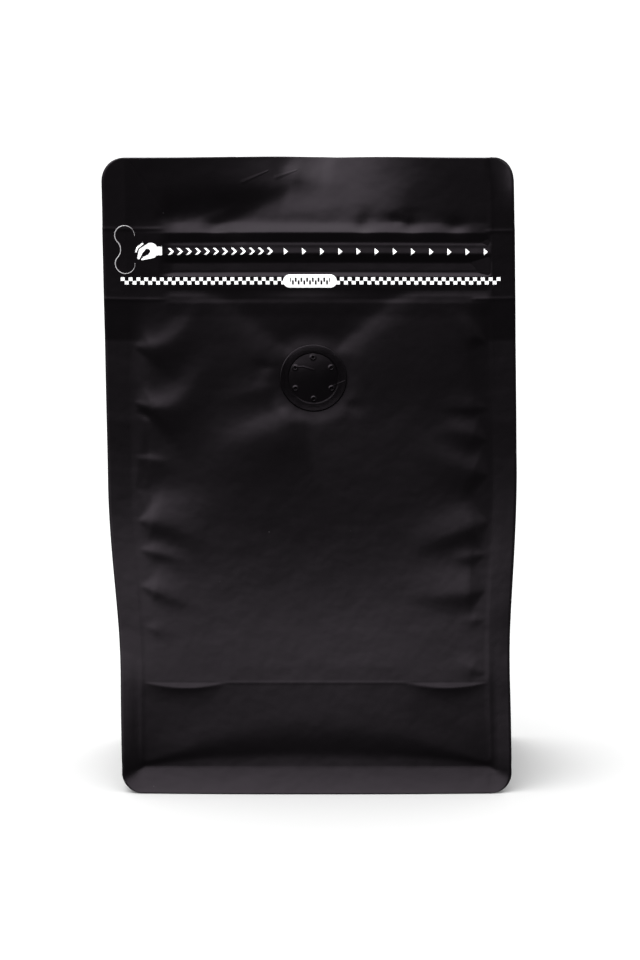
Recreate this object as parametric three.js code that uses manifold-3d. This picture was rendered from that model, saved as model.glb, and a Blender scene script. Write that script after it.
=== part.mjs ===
// A flat bottom coffee bag, shut and standing, with a one-way degassing valve.
//
// The bag is welded from five films: a front and a back panel, two side gussets that fold inwards, and a base
// film. Where two films are welded they stand proud as flat fins: one down each upright edge, and one along
// the foot of the front and back panels. The bag is shut, so it is one solid out to the outside of its films.
//
// Millimetres. Origin on the floor under the middle of the bag, +Z up, front panel towards -Y.
// A panel's own coordinates are u, across the film from its middle, and v, up the film from its foot.

import * as THREE from "three";
import Module from "manifold-3d";
import { mergeVertices } from "three/addons/utils/BufferGeometryUtils.js";

// Flat sizes of the films
const PANEL_WIDTH = 130;
const PANEL_HEIGHT = 202;
const SIDE_SEAL = 7.4;
const BASE_SEAL = 8.6;
const CORNER_RADIUS = 7;
const GUSSET_WIDTH = 72;
const CREASE_HEIGHT = 35;
const CREASE_ROUND = 0.8;
const FIN_CREASE_ROUND = 7;

// Zipper band, welded behind the front panel and seen as a raised strip from fin to fin, with a roll along its top
const BAND_FOOT = 157;
const BAND_TOP = 178;
const BAND_RELIEF = 0.3;
const BAND_EDGE = 0.8;
const ROLL_TOP = 183;

// How the foot of the standing bag has opened
const STANDING_HEIGHT = 196.1;
const FOOT_DEPTH = 77;
const FOOT_BOW = 1;
const FLANGE_TIP_TILT = 33;
const FLANGE_ROOT_TILT = 24;
const FLANGE_CORNER_TILT = 21;
const FLANGE_ROUND = 0.5;
const FLANGE_MITRE = 0.75;
const VALLEY_RISE = 0.8;
const VALLEY_ARCH = 4.7;
const VALLEY_DIP = 12;
const CORNER_DIP = 18;
const VALLEY_ABOVE = 6.5;
const VALLEY_BELOW = 2.2;
const VALLEY_THIN = 0.6;
const UNDER_CREASE_LEAN = 17.2;
const UNDER_CREASE_EDGE_LEAN = 6.5;

// Lean of the film from the crease to the top, down the panel's middle and down its fins: height, degrees
const MIDDLE_LEAN = [
  [CREASE_HEIGHT, 22.2],
  [52, 22],
  [88, 12.8],
  [118, 13],
  [130, 8.5],
  [BAND_FOOT, 9],
  [162, 2.5],
  [BAND_TOP, 2.5],
  [178.5, 31],
  [180.3, 31],
  [ROLL_TOP, 5],
  [190, 1.5],
];
const FIN_LEAN = [
  [CREASE_HEIGHT, 13],
  [55, 18],
  [68, 17],
  [90, 11.5],
  [122, 5.5],
  [140, 4],
  [180, 1.5],
];

// How the sides and the header of the filled bag lie
const BELLY_FLATNESS = 2.4;
const PILLOW = 4;
const PILLOW_FLATNESS = 4;
const PILLOW_GROWN = 52;
const PILLOW_FULL = 80;
const PILLOW_END = 150;
const LEFT_FIN_FOLD = 8;
const RIGHT_FIN_FOLD = 13;
const FOLD_START = 3;
const UNFOLD_START = 30;
const UNFOLD_END = 90;
const FIN_STRAIGHT = 55;
const FIN_THICKNESS = 0.8;
const WAIST = 0.056;
const WAIST_TOP = 101;
const PRESSED_FROM = 116;
const PRESSED_TO = 195;
const LIP_DEPTH = 1.2;
const FIN_LIP = 1.4;
const BAND_BOW = 1.8;
const SWAY_FOOT = 181.5;
const SWAY_LEAN = 25;
const SWAY_PLACE = 6;
const SWAY_WIDTH = 22;
const BASE_OFFSET = 2.7;
const TOP_OFFSET = -0.35;

// Valve
const VALVE_U = 0.8;
const VALVE_V = 132.3;
const VALVE_RADIUS = 10.6;
const VALVE_FACE_RADIUS = 8;
const VALVE_RIM_HEIGHT = 0.6;
const VALVE_RIM_ROUND = 0.35;
const VALVE_RIM_STEP = 0.25;
const VALVE_DOME_HEIGHT = 0.8;
const DOME_STATIONS = [0.4, 0.75, 1];
const VALVE_SEAT_DEPTH = 1.2;
const SEAT_GAP = 0.3;
const PINHOLE_COUNT = 6;
const PINHOLE_RADIUS = 0.4;
const PINHOLE_CIRCLE = 6.6;
const PINHOLE_DEPTH = 0.6;

// Sizes that follow from these
const HALF_PANEL = PANEL_WIDTH / 2;
const HALF_BODY = HALF_PANEL - SIDE_SEAL;
const HALF_GUSSET = GUSSET_WIDTH / 2;

// Grid of the solid: columns across a panel, points across a gusset, and rows up each stretch of film.
// A column's place is 0 at the middle of the panel, 1 at a fin's root and 2 at its edge.
const BODY_COLUMNS = 18;
const FIN_MIDDLE = 1.5;
const FIN_EDGE = 2;
const GUSSET_POINTS = 9;
const ROW_STRETCHES = [
  [0, CORNER_RADIUS / 4, 2],
  [CORNER_RADIUS / 4, BASE_SEAL, 3],
  [BASE_SEAL, CREASE_HEIGHT - CREASE_ROUND, 8],
  [CREASE_HEIGHT - CREASE_ROUND, CREASE_HEIGHT + CREASE_ROUND, 2],
  [CREASE_HEIGHT + CREASE_ROUND, BAND_FOOT - BAND_EDGE, 14],
  [BAND_FOOT - BAND_EDGE, BAND_FOOT, 1],
  [BAND_FOOT, BAND_TOP, 3],
  [BAND_TOP, BAND_TOP + BAND_EDGE, 1],
  [BAND_TOP + BAND_EDGE, ROLL_TOP, 2],
  [ROLL_TOP, PANEL_HEIGHT - CORNER_RADIUS, 2],
  [PANEL_HEIGHT - CORNER_RADIUS, PANEL_HEIGHT, 4],
];
const PROFILE_STEP = 0.25;
const ROUND_SIDES = 48;
const PINHOLE_SIDES = 8;
const JOIN_TOLERANCE = 1e-4;

const wasm = await Module();
wasm.setup();

const lerp = THREE.MathUtils.lerp;
const rad = THREE.MathUtils.degToRad;

// 0 below a, 1 above b, with a smooth step between.
function ease(a, b, x) {
  return THREE.MathUtils.smoothstep(x, a, b);
}

// 1 at 0, falling away on both sides as a bell curve of the given width.
function hump(x, width) {
  return Math.exp(-((x / width) ** 2));
}

// Value at height v on a line drawn through points of height and value.
function alongLine(points, v) {
  const next = points.findIndex(([height]) => height > v);
  if (next < 0) {
    return points[points.length - 1][1];
  }
  const [from, before] = points[Math.max(0, next - 1)];
  const [to, after] = points[next];
  return next === 0 ? after : lerp(before, after, (v - from) / (to - from));
}

// 1 along the middle of a panel, falling to 0 at its side seals.
function belly(u) {
  return 1 - Math.min(1, Math.abs(u) / HALF_BODY) ** BELLY_FLATNESS;
}

// How far out on a fin a place is from its root.
function outOnFin(u) {
  return Math.max(0, Math.abs(u) - HALF_BODY);
}

// Lean of the film from upright at a point of a panel, in radians, positive where the film faces up.
// From the foot: the flared flange, which is mitred at its corners, a valley that arches and widens to the middle,
// the belly up to the sharp crease, and the slope that steepens up to the zipper band.
function lean(u, v) {
  const middle = belly(u);
  const sealTop = BASE_SEAL - FLANGE_MITRE * outOnFin(u);
  const fromValley = v - sealTop - VALLEY_RISE - VALLEY_ARCH * middle;
  const reach = fromValley > 0 ? VALLEY_ABOVE : VALLEY_BELOW;
  const dip = lerp(CORNER_DIP, VALLEY_DIP, middle) * hump(fromValley, lerp(VALLEY_THIN, reach, middle ** 2));
  const tilt = lerp(FLANGE_TIP_TILT, FLANGE_ROOT_TILT, v / BASE_SEAL);
  const flange = lerp(tilt, FLANGE_CORNER_TILT, ease(0, SIDE_SEAL, outOnFin(u)));
  const underCrease = lerp(UNDER_CREASE_EDGE_LEAN, UNDER_CREASE_LEAN, middle) - dip;
  const below = lerp(flange, underCrease, ease(sealTop - FLANGE_ROUND, sealTop + FLANGE_ROUND, v));
  const above = lerp(alongLine(FIN_LEAN, v), alongLine(MIDDLE_LEAN, v), middle);
  const round = outOnFin(u) > 0 ? FIN_CREASE_ROUND : CREASE_ROUND;
  return rad(lerp(below, above, ease(CREASE_HEIGHT - round, CREASE_HEIGHT + round, v)));
}

// How far the front of the panel stands back from the film's foot, and its height, at each row of one column.
function profile(u, rows) {
  const points = [];
  let back = 0;
  let height = 0;
  let v = 0;
  for (const row of rows) {
    const steps = Math.max(1, Math.ceil((row - v) / PROFILE_STEP));
    const step = (row - v) / steps;
    for (let i = 0; i < steps; i += 1) {
      const angle = lean(u, v + (i + 0.5) * step);
      back += Math.sin(angle) * step;
      height += Math.cos(angle) * step;
    }
    v = row;
    points.push({ back, height });
  }
  return points;
}

// Half the width of the film at height v, with its corners rounded.
function halfWidth(v) {
  const fromEnd = Math.min(v, PANEL_HEIGHT - v, CORNER_RADIUS);
  return HALF_PANEL - CORNER_RADIUS + Math.sqrt(CORNER_RADIUS ** 2 - (CORNER_RADIUS - fromEnd) ** 2);
}

// How far a point of a fin stands back from its root. The fold grows above the foot and dies away up the bag.
function finBack(u, v) {
  const full = u < 0 ? LEFT_FIN_FOLD : RIGHT_FIN_FOLD;
  const fold = rad(full) * ease(FOLD_START, UNFOLD_START, v) * (1 - ease(UNFOLD_START, UNFOLD_END, v));
  return Math.sin(fold) * outOnFin(u);
}

// How far the film stands back towards its seals, from which the filled body stands out as a pillow.
function pillowBack(u, v) {
  const filled = ease(BASE_SEAL, PILLOW_GROWN, v) * (1 - ease(PILLOW_FULL, PILLOW_END, v));
  return PILLOW * filled * Math.min(1, Math.abs(u) / HALF_BODY) ** PILLOW_FLATNESS;
}

// Raised strip of the zipper band.
function bandRelief(v) {
  return BAND_RELIEF * ease(BAND_FOOT - BAND_EDGE, BAND_FOOT, v) * (1 - ease(BAND_TOP, BAND_TOP + BAND_EDGE, v));
}

function rowHeights() {
  const rows = [0];
  for (const [from, to, count] of ROW_STRETCHES) {
    for (let i = 1; i <= count; i += 1) {
      rows.push(lerp(from, to, i / count));
    }
  }
  return rows;
}

// Places of the columns across a panel, from the left fin's edge to the right fin's.
function columnPlaces() {
  const places = [-FIN_EDGE, -FIN_MIDDLE];
  for (let i = 0; i <= BODY_COLUMNS; i += 1) {
    places.push(-1 + (2 * i) / BODY_COLUMNS);
  }
  return [...places, FIN_MIDDLE, FIN_EDGE];
}

// Width across the film of a column at height v.
function across(place, v) {
  const body = Math.min(1, Math.abs(place)) * HALF_BODY;
  const fin = Math.max(0, Math.abs(place) - 1) * (halfWidth(v) - HALF_BODY);
  return Math.sign(place) * (body + fin);
}

// Where the foot of the film stands, front to back.
function footPlace(u) {
  return FOOT_BOW * (1 - belly(u)) - FOOT_DEPTH / 2;
}

// Where the top of the film stands, front to back.
function lipPlace(u) {
  return -FIN_LIP * (1 - belly(u)) - LIP_DEPTH / 2;
}

// The front panel as rows of points. Each column is drawn in above the crease so that the lips meet at the top, and
// the fins come level with their roots over the foot. The width of each row is walked outwards from the middle, so
// that the film keeps its length as it bows and as its fins fold back, and then drawn in a little at the waist.
function frontPanel(rows, places) {
  const columns = places.map((place) => profile(across(place, PANEL_HEIGHT / 2), rows));
  const top = rows.length - 1;
  const missing = places.map((place, i) => {
    const u = across(place, PANEL_HEIGHT);
    return lipPlace(u) - footPlace(u) - columns[i][top].back;
  });
  const middle = places.indexOf(0);
  return rows.map((v, j) => {
    const row = places.map((place, i) => {
      const u = across(place, v);
      const root = THREE.MathUtils.clamp(i, places.indexOf(-1), places.indexOf(1));
      const drawnIn = missing[root] * ease(CREASE_HEIGHT, BAND_FOOT, v);
      const levelled = (missing[i] - missing[root]) * ease(BASE_SEAL, FIN_STRAIGHT, v);
      const y = footPlace(u) + columns[i][j].back + drawnIn + levelled + pillowBack(u, v) + finBack(u, v);
      return { u, y, z: (columns[i][j].height * STANDING_HEIGHT) / columns[i][top].height };
    });
    const x = new Array(places.length).fill(0);
    for (const side of [1, -1]) {
      for (let i = middle + side; i >= 0 && i < places.length; i += side) {
        const du = row[i].u - row[i - side].u;
        const fall = Math.hypot(row[i].y - row[i - side].y, row[i].z - row[i - side].z);
        x[i] = x[i - side] + side * Math.sqrt(Math.max(0, du * du - fall * fall));
      }
    }
    const narrowed = 1 - WAIST * (1 - ease(CREASE_HEIGHT, WAIST_TOP, v));
    const offset = lerp(BASE_OFFSET, TOP_OFFSET, v / PANEL_HEIGHT);
    return row.map((p, i) => new THREE.Vector3(x[i] * narrowed + offset, p.y - bandRelief(v), p.z));
  });
}

// Points down one gusset at one row, from the front fin's root to the back fin's. The gusset folds inwards along
// its middle, and below the crease it opens into a flat triangle that stands on the foot.
function gussetRow(root, v, side) {
  const reach = -root.y;
  const fold = Math.sqrt(Math.max(0, HALF_GUSSET ** 2 - reach ** 2));
  const stillOpen = 1 - ease(PRESSED_FROM, PRESSED_TO, v);
  const points = [];
  for (let i = 0; i < GUSSET_POINTS; i += 1) {
    const s = -1 + (2 * i) / (GUSSET_POINTS - 1);
    const fromRoot = HALF_GUSSET * (1 - Math.abs(s));
    const fromFoot = Math.max(0, v - BASE_SEAL);
    const tuck = (fold * stillOpen * Math.min(fromRoot, fromFoot)) / HALF_GUSSET;
    points.push(new THREE.Vector3(root.x - side * tuck, s * (reach - FIN_THICKNESS), root.z));
  }
  return points;
}

// A point moved back as front and back are together: the zipper band bows back in its middle, and the header above
// it leans back a little to the right of the middle.
function bowedBack(point, v) {
  const bow = BAND_BOW * belly(point.x) * ease(CREASE_HEIGHT, BAND_FOOT, v);
  const sway = Math.sin(rad(SWAY_LEAN) * hump(point.x - SWAY_PLACE, SWAY_WIDTH)) * Math.max(0, v - SWAY_FOOT);
  return new THREE.Vector3(point.x, point.y + bow + sway, point.z);
}

// The bag's outline at one row, anticlockwise from above: front panel, right gusset, back panel, left gusset.
function outline(front, v) {
  const mirrored = front.map((p) => new THREE.Vector3(p.x, -p.y - bandRelief(v), p.z));
  const right = front.length - 1;
  const behind = (tip, root, side, facing) => {
    const fold = Math.atan2(Math.abs(tip.y - root.y), Math.abs(tip.x - root.x));
    const shift = new THREE.Vector3(-side * Math.sin(fold), facing * Math.cos(fold), 0);
    return tip.clone().addScaledVector(shift, FIN_THICKNESS);
  };
  const plain = (p) => new THREE.Vector3(p.x, p.y + bandRelief(v), p.z);
  const ring = [
    ...front,
    behind(front[right], front[right - 2], 1, 1),
    ...gussetRow(plain(front[right - 2]), v, 1),
    behind(mirrored[right], mirrored[right - 2], 1, -1),
    ...mirrored.slice().reverse(),
    behind(mirrored[0], mirrored[2], -1, -1),
    ...gussetRow(plain(front[2]), v, -1).reverse(),
    behind(front[0], front[2], -1, 1),
  ];
  return ring.map((p) => bowedBack(p, v));
}

// A closed skin through a stack of outlines, with flat ends.
function loft(rings) {
  const count = rings[0].length;
  const positions = rings.flat().flatMap((p) => [p.x, p.y, p.z]);
  const triangles = [];
  for (let j = 0; j + 1 < rings.length; j += 1) {
    for (let i = 0; i < count; i += 1) {
      const a = j * count + i;
      const b = j * count + ((i + 1) % count);
      triangles.push(a, b, b + count, a, b + count, a + count);
    }
  }
  const cap = (ring) =>
    THREE.ShapeUtils.triangulateShape(
      ring.map((p) => new THREE.Vector2(p.x, p.y)),
      [],
    );
  for (const [a, b, c] of cap(rings[0])) {
    triangles.push(a, c, b);
  }
  const last = (rings.length - 1) * count;
  for (const [a, b, c] of cap(rings[rings.length - 1])) {
    triangles.push(last + a, last + b, last + c);
  }
  const geometry = new THREE.BufferGeometry();
  geometry.setAttribute("position", new THREE.Float32BufferAttribute(positions, 3));
  geometry.setIndex(triangles);
  return geometry;
}

// A closed geometry as a solid for joining and cutting, with an optional placement.
function solidFrom(geometry, placement = new THREE.Matrix4()) {
  const bare = geometry.clone();
  bare.deleteAttribute("normal");
  bare.deleteAttribute("uv");
  const merged = mergeVertices(bare.applyMatrix4(placement), JOIN_TOLERANCE);
  return new wasm.Manifold(
    new wasm.Mesh({
      numProp: 3,
      vertProperties: new Float32Array(merged.attributes.position.array),
      triVerts: new Uint32Array(merged.index.array),
    }),
  );
}

function geometryFrom(solid) {
  const mesh = solid.getMesh();
  const geometry = new THREE.BufferGeometry();
  geometry.setAttribute("position", new THREE.Float32BufferAttribute(mesh.vertProperties, 3));
  geometry.setIndex(new THREE.Uint32BufferAttribute(mesh.triVerts, 1));
  const faceted = geometry.toNonIndexed();
  faceted.computeVertexNormals();
  return faceted;
}

// Placement of the valve: its axis along the front panel's outward normal, its origin on the film.
function valvePlacement() {
  const middle = VALVE_U / HALF_BODY;
  const reach = VALVE_RADIUS / HALF_BODY;
  const places = [-FIN_EDGE, -1, middle - reach, 0, middle, middle + reach, 1, FIN_EDGE];
  const rows = [VALVE_V - VALVE_RADIUS, VALVE_V, VALVE_V + VALVE_RADIUS, PANEL_HEIGHT];
  const panel = frontPanel(rows, places);
  const [low, level, high] = panel.map((row, j) => row.map((p) => bowedBack(p, rows[j])));
  const column = places.indexOf(middle);
  const rightward = level[places.indexOf(middle + reach)].clone().sub(level[places.indexOf(middle - reach)]);
  const upward = high[column].clone().sub(low[column]);
  const outward = rightward.clone().cross(upward).normalize();
  rightward.normalize();
  const basis = new THREE.Matrix4().makeBasis(rightward, outward.clone().cross(rightward), outward);
  return basis.setPosition(level[column]);
}

// Height of the valve's domed face at a share of its radius.
function domeHeight(share) {
  return VALVE_DOME_HEIGHT * (1 - share * share);
}

// Valve body: a raised rim round a face that is slightly domed, turned about its own Z axis.
function valveProfile() {
  const points = [new THREE.Vector2(0, VALVE_DOME_HEIGHT)];
  for (const share of DOME_STATIONS) {
    points.push(new THREE.Vector2(VALVE_FACE_RADIUS * share, domeHeight(share)));
  }
  points.push(
    new THREE.Vector2(VALVE_FACE_RADIUS + VALVE_RIM_STEP, VALVE_RIM_HEIGHT),
    new THREE.Vector2(VALVE_RADIUS - VALVE_RIM_ROUND, VALVE_RIM_HEIGHT),
    new THREE.Vector2(VALVE_RADIUS, VALVE_RIM_HEIGHT - VALVE_RIM_ROUND),
    new THREE.Vector2(VALVE_RADIUS, SEAT_GAP - VALVE_SEAT_DEPTH),
    new THREE.Vector2(0, SEAT_GAP - VALVE_SEAT_DEPTH),
  );
  return points.reverse();
}

const faceUp = new THREE.Matrix4().makeRotationX(Math.PI / 2);

function makeValve() {
  let valve = solidFrom(new THREE.LatheGeometry(valveProfile(), ROUND_SIDES), faceUp);
  const height = domeHeight(PINHOLE_CIRCLE / VALVE_FACE_RADIUS);
  for (let i = 0; i < PINHOLE_COUNT; i += 1) {
    const angle = Math.PI / 2 + (i * 2 * Math.PI) / PINHOLE_COUNT;
    const hole = new THREE.CylinderGeometry(PINHOLE_RADIUS, PINHOLE_RADIUS, 2 * PINHOLE_DEPTH, PINHOLE_SIDES);
    const x = PINHOLE_CIRCLE * Math.cos(angle);
    const y = PINHOLE_CIRCLE * Math.sin(angle);
    const at = new THREE.Matrix4().makeTranslation(x, y, height);
    valve = valve.subtract(solidFrom(hole, at.multiply(faceUp)));
  }
  return geometryFrom(valve);
}

function makeBag(placement) {
  const rows = rowHeights();
  const panel = frontPanel(rows, columnPlaces());
  const body = solidFrom(loft(panel.map((front, j) => outline(front, rows[j]))));
  const seatRadius = VALVE_RADIUS + SEAT_GAP;
  const seat = new THREE.CylinderGeometry(seatRadius, seatRadius, 2 * VALVE_SEAT_DEPTH, ROUND_SIDES);
  return geometryFrom(body.subtract(solidFrom(seat, placement.clone().multiply(faceUp))));
}

const film = new THREE.MeshStandardMaterial({ color: 0x201e20, roughness: 0.5, metalness: 0 });
const valveFilm = new THREE.MeshStandardMaterial({ color: 0x1c1b1d, roughness: 0.42, metalness: 0 });

const placement = valvePlacement();

const bag = new THREE.Mesh(makeBag(placement), film);
bag.name = "bag";

const valve = new THREE.Mesh(makeValve(), valveFilm);
valve.name = "valve";
valve.applyMatrix4(placement);

const part = new THREE.Group();
part.name = "flat_bottom_bag";
part.add(bag, valve);

export default part;
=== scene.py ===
import bmesh
import bpy
import numpy as np
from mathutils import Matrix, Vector


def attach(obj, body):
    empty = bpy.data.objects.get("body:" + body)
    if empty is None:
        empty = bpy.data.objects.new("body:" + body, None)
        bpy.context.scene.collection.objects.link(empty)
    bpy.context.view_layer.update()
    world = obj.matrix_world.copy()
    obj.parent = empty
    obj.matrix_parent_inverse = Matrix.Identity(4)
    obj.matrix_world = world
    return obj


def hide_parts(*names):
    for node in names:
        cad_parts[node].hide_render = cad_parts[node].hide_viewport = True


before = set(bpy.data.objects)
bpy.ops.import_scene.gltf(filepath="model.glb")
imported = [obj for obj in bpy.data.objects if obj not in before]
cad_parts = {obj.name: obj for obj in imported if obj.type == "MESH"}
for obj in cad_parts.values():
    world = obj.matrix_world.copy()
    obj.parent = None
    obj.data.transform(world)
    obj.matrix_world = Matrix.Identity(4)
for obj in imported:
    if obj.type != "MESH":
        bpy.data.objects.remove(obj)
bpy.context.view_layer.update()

# Front panel. One cut of matt black laminate film, welded to the side gussets down both edges and to the base
# film along its foot, so that flat fins and a flared flange stand proud of the filled body. The zipper is
# welded behind it and shows through as ribs, and the film carries the bag's white print.
MM = 0.001
HALF_PANEL = 65.0
PANEL_HEIGHT = 202.0
STANDING_HEIGHT = 196.1
SIDE_SEAL = 7.4
BASE_SEAL = 8.6
HALF_BODY = HALF_PANEL - SIDE_SEAL
FIN_ROOT = (HALF_BODY - 1.0, HALF_BODY + 2.0)
CORNER_RADIUS = 7.2
CREASE = 35.0
CREASE_ROUND = 0.8
FIN_CREASE_ROUND = 7.0
BAND_FOOT = 157.0
BAND_TOP = 179.0
FOOT_DEPTH = 77.0
FOOT_BOW = 1.0
FOOT_LIFT = 0.3
FOOT_CORNER = 7.0
FLANGE_TIP_TILT = 33.0
FLANGE_ROOT_TILT = 24.0
FLANGE_ROUND = 0.5
FLANGE_MITRE = 0.62
VALLEY_RISE = 0.8
VALLEY_ARCH = 4.7
VALLEY_DIP = 12.0
CORNER_DIP = 18.0
VALLEY_ABOVE = 6.5
VALLEY_BELOW = 2.2
VALLEY_THIN = 0.6
FIN_DIP = 3.6
FIN_VALLEY = 3.0
CORNER_TILT = 21.0
UNDER_CREASE_LEAN = 17.2
UNDER_CREASE_EDGE_LEAN = 6.5
BELLY_FLATNESS = 2.4
# Lean of the film from the crease to the top, down the panel's middle and down its fins: height, degrees
MIDDLE_LEAN = np.array([
    (35.0, 22.2), (52.0, 22.0), (88.0, 12.8), (118.0, 13.0), (130.0, 8.5), (140.0, 9.0), (157.0, 9.0),
    (162.0, 2.5), (178.0, 2.5), (178.5, 31.0), (180.3, 31.0), (183.0, 5.0), (190.0, 1.5),
])
FIN_LEAN = np.array([
    (35.0, 13.0), (55.0, 18.0), (68.0, 17.0), (90.0, 11.5), (106.0, 9.5), (122.0, 5.5), (140.0, 4.0),
    (157.0, 3.5), (180.0, 1.5),
])
LEFT_FIN_FOLD = 8.0
RIGHT_FIN_FOLD = 13.0
FOLD_START = -8.0
UNFOLD_START = 30.0
UNFOLD_END = 90.0
FIN_STRAIGHT = 55.0
PILLOW = 4.0
PILLOW_FLATNESS = 4.0
PILLOW_GROWN = 52.0
PILLOW_FULL = 80.0
PILLOW_END = 150.0
WAIST = 0.056
LEFT_WAIST_TOP = 98.0
RIGHT_WAIST_TOP = 104.0
FOLD_ROUND = 0.7
BASE_OFFSET = 2.7
TOP_OFFSET = -0.35
LIP_DEPTH = 1.2
FIN_LIP = 1.4
BAND_BOW = 1.8
FILM_THICKNESS = 0.15


def ease(start, end, x):
    """0 before start, 1 after end, and a smooth step between them."""
    t = np.clip((x - start) / (end - start), 0.0, 1.0)
    return t * t * (3.0 - 2.0 * t)


def mix(a, b, share):
    """The value that lies the given share of the way from a to b."""
    return a + (b - a) * share


def bend(x, radius):
    """0 well before x = 0 and x well after it, with a round bend between them."""
    return (x + np.sqrt(x**2 + radius**2)) / 2.0


def hump(x, place, width):
    """1 at a place, falling away on both sides as a bell curve of the given width."""
    return np.exp(-((x - place) / width) ** 2)


def spaced(*stations):
    """Places along a line. Each station is a place and the step to use after it, and the last is the end."""
    parts = [
        np.linspace(a, b, max(1, round((b - a) / step)), endpoint=False)
        for (a, step), (b, _) in zip(stations, stations[1:])
    ]
    return np.append(np.concatenate(parts), stations[-1][0])


def belly(u):
    """1 along the middle of a panel, falling to 0 at its side seals, a little flatter than a parabola."""
    return 1.0 - np.minimum(1.0, np.abs(u) / HALF_BODY) ** BELLY_FLATNESS


def lean(u, v):
    """How far the film leans from upright, in radians, positive where it faces up. From the foot: the flared
    flange, a valley where the lean dips, which is a thin line at the corners and arches and widens to the
    middle, the belly up to the crease, and the slope that steepens up to the band."""
    middle = belly(u)
    seal_top = BASE_SEAL - FLANGE_MITRE * np.maximum(0.0, np.abs(u) - HALF_BODY)
    from_valley = v - seal_top - VALLEY_RISE - VALLEY_ARCH * middle
    reach = np.where(from_valley > 0.0, VALLEY_ABOVE, VALLEY_BELOW)
    fin = ease(*FIN_ROOT, np.abs(u))
    valley_width = mix(mix(VALLEY_THIN, reach, middle**2), FIN_VALLEY, fin)
    dip = mix(mix(CORNER_DIP, VALLEY_DIP, middle), FIN_DIP, fin) * hump(from_valley, 0.0, valley_width)
    corner = ease(HALF_BODY, HALF_PANEL, np.abs(u))
    flange_lean = mix(mix(FLANGE_TIP_TILT, FLANGE_ROOT_TILT, v / BASE_SEAL), CORNER_TILT, corner)
    belly_lean = mix(UNDER_CREASE_EDGE_LEAN, UNDER_CREASE_LEAN, middle) - dip
    below = mix(flange_lean, belly_lean, ease(seal_top - FLANGE_ROUND, seal_top + FLANGE_ROUND, v))
    above = mix(np.interp(v, *FIN_LEAN.T), np.interp(v, *MIDDLE_LEAN.T), middle)
    crease_round = mix(CREASE_ROUND, FIN_CREASE_ROUND, fin)
    return np.radians(mix(below, above, ease(CREASE - crease_round, CREASE + crease_round, v)))


def half_width(v):
    """Half the film's width at height v, with its four corners rounded to quarter circles."""
    radius = np.where(v < PANEL_HEIGHT / 2.0, FOOT_CORNER, CORNER_RADIUS)
    from_end = np.minimum(np.minimum(v, PANEL_HEIGHT - v), radius)
    return HALF_PANEL - radius + np.sqrt(radius**2 - (radius - from_end) ** 2)


def fin_fold(u, v):
    """Angle by which the upright fins are folded back: little at the foot, most by the crease, and dying away
    up the bag."""
    full = np.where(u < 0.0, LEFT_FIN_FOLD, RIGHT_FIN_FOLD)
    return np.radians(full) * ease(FOLD_START, UNFOLD_START, v) * (1.0 - ease(UNFOLD_START, UNFOLD_END, v))


def panel_coordinates(places, rows):
    """Film coordinates of a grid. Places from -1 to 1 span the body, and on to -2 and 2 the fins."""
    v = np.repeat(rows[:, None], len(places), axis=1)
    body = np.minimum(1.0, np.abs(places)) * HALF_BODY
    fin = np.maximum(0.0, np.abs(places) - 1.0) * (half_width(v) - HALF_BODY)
    return np.sign(places) * (body + fin), v


def panel_form(places, rows, bow):
    """Points of a front panel before its folds. Each column's profile is the running sum of its lean, drawn
    level and in so that the lips meet at the top, where the band bows back in its middle. The fins come level
    with their roots over the foot. The seals are set back from the body, which stands out between them as a
    pillow, and each row is walked outwards at the film's own length."""
    u, v = panel_coordinates(places, rows)
    between = (v[1:] + v[:-1]) / 2.0
    angle = lean(u[1:], between)
    step = np.diff(v, axis=0)
    start = np.zeros((1, len(places)))
    back = np.vstack([start, np.cumsum(np.sin(angle) * step, axis=0)])
    z = np.vstack([start, np.cumsum(np.cos(angle) * step, axis=0)])
    z = FOOT_LIFT + z * (STANDING_HEIGHT - FOOT_LIFT) / z[-1]
    tip = -FOOT_DEPTH / 2.0 + FOOT_BOW * (1.0 - belly(u))
    lip = -LIP_DEPTH / 2.0 + mix(-FIN_LIP, bow, belly(u))
    missing = (lip - tip - back)[-1]
    body = np.flatnonzero(np.abs(places) <= 1.0)
    body_missing = missing[np.clip(np.arange(len(places)), body[0], body[-1])]
    y = tip + back + body_missing * ease(CREASE, BAND_FOOT, v)
    y += (missing - body_missing) * ease(BASE_SEAL, FIN_STRAIGHT, v)
    filled = ease(BASE_SEAL, PILLOW_GROWN, v) * (1.0 - ease(PILLOW_FULL, PILLOW_END, v))
    y += PILLOW * filled * np.minimum(1.0, np.abs(u) / HALF_BODY) ** PILLOW_FLATNESS
    y += np.sin(fin_fold(u, v)) * bend(np.abs(u) - HALF_BODY, FOLD_ROUND)
    fall = np.hypot(np.diff(y, axis=1), np.diff(z, axis=1))
    stride = np.sqrt(np.maximum(0.0, np.diff(u, axis=1) ** 2 - fall**2))
    x = np.hstack([np.zeros((len(rows), 1)), np.cumsum(stride, axis=1)])
    x -= x[:, [len(places) // 2]]
    waist_top = np.where(u < 0.0, LEFT_WAIST_TOP, RIGHT_WAIST_TOP)
    x *= 1.0 - WAIST * (1.0 - ease(CREASE, waist_top, v))
    x += mix(BASE_OFFSET, TOP_OFFSET, v / PANEL_HEIGHT)
    return np.stack([x, y, z], axis=-1)


def outward(points):
    """Unit normals of a grid of points, from the cross product of its two directions."""
    normal = np.cross(np.gradient(points, axis=1), np.gradient(points, axis=0))
    return normal / np.linalg.norm(normal, axis=-1, keepdims=True)


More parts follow.
